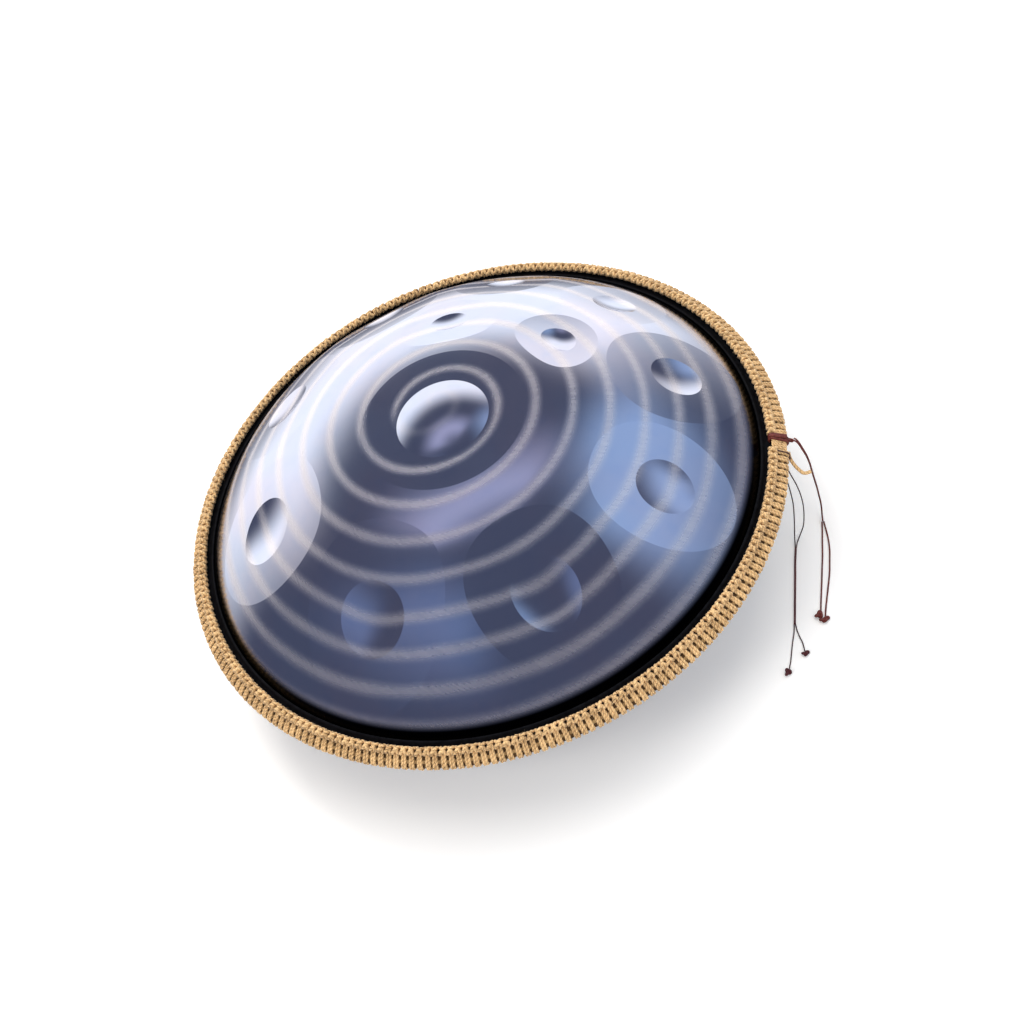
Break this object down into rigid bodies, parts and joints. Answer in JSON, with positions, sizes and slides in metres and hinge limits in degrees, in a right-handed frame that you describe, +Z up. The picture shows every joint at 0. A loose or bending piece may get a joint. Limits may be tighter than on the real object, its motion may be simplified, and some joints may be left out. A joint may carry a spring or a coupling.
{
  "type": "handpan",
  "caption": "Steel handpan: two bowls joined at a rope-wrapped rim, a domed centre note inside a ring of dimpled tone fields, a sound hole below and two hanging laces.",
  "frame": {"origin": "on the pan's axis, in the plane of the land round the sound hole that the pan stands on", "axes": "+Z up through the centre note; the player sits on the -Y side; the laces hang from the band between +X and -Y"},
  "size_m": [0.559, 0.559, 0.2348],
  "materials": {
    "top_steel": "nitrided steel, dark blue-violet with a satin sheen and a tan spiral heat stripe",
    "bottom_steel": "nitrided steel, dark blue-violet with a satin sheen",
    "glue": "cured structural adhesive",
    "rubber": "glossy black edge trim",
    "core": "laid cord",
    "rope": "jute twine, hairy",
    "leather": "red-brown lace",
    "waxed_cord": "dark waxed cord"
  },
  "bodies": {
    "root": {"top_shell": "top_steel", "bottom_shell": "bottom_steel", "seam_glue": "glue", "rim_trim": "rubber", "core_cord_upper": "core", "core_cord_lower": "core", "rope_band": "rope", "rope_join": "rope", "rope_tail": "rope", "lace_lashing": "leather", "lace_knot": "leather", "lace_stem": "leather", "lace_left": "leather", "lace_right": "leather", "lace_end_left": "leather", "lace_end_right": "leather", "tie_lashing": "waxed_cord", "tie_knot": "waxed_cord", "tie_left": "waxed_cord", "tie_right": "waxed_cord", "tie_stem": "waxed_cord", "tie_tail_left": "waxed_cord", "tie_tail_right": "waxed_cord", "tie_end_left": "waxed_cord", "tie_end_right": "waxed_cord"}
  },
  "joints": []
}
